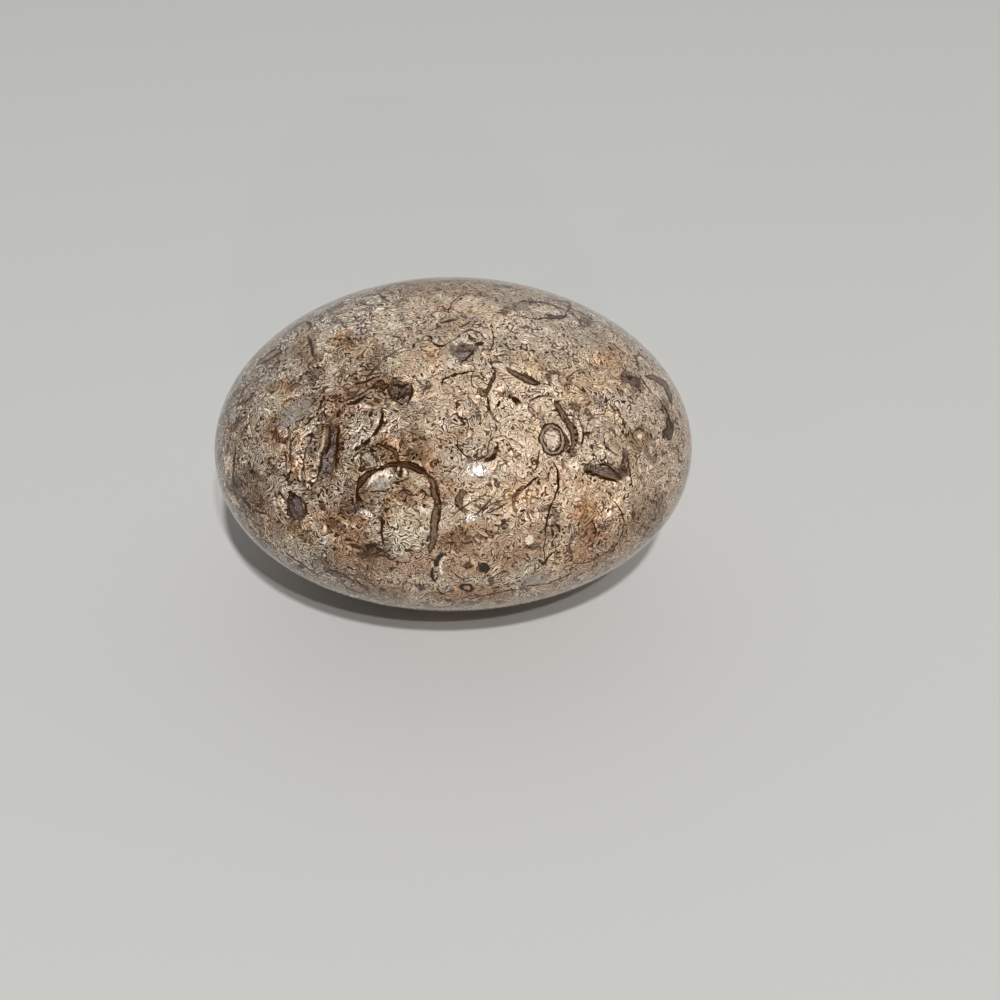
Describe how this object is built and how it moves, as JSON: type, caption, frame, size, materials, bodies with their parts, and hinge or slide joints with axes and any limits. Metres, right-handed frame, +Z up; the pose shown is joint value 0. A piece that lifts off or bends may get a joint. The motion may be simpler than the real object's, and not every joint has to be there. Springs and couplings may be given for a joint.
{
  "type": "polished fossil shell palm stone",
  "caption": "Thick egg-like palm stone of fossil-shell limestone, polished all over, with shell sections and rust stains; it rests on its belly.",
  "frame": {"origin": "on the surface the stone rests on, under the middle of its bounding box", "axes": "+X along the stone's length, +Y across its width towards the back, +Z up, through its thickness"},
  "size_m": [0.07, 0.059, 0.0445],
  "materials": {
    "polished_limestone": "polished"
  },
  "bodies": {
    "root": {"shell_stone": "polished_limestone"}
  },
  "joints": []
}
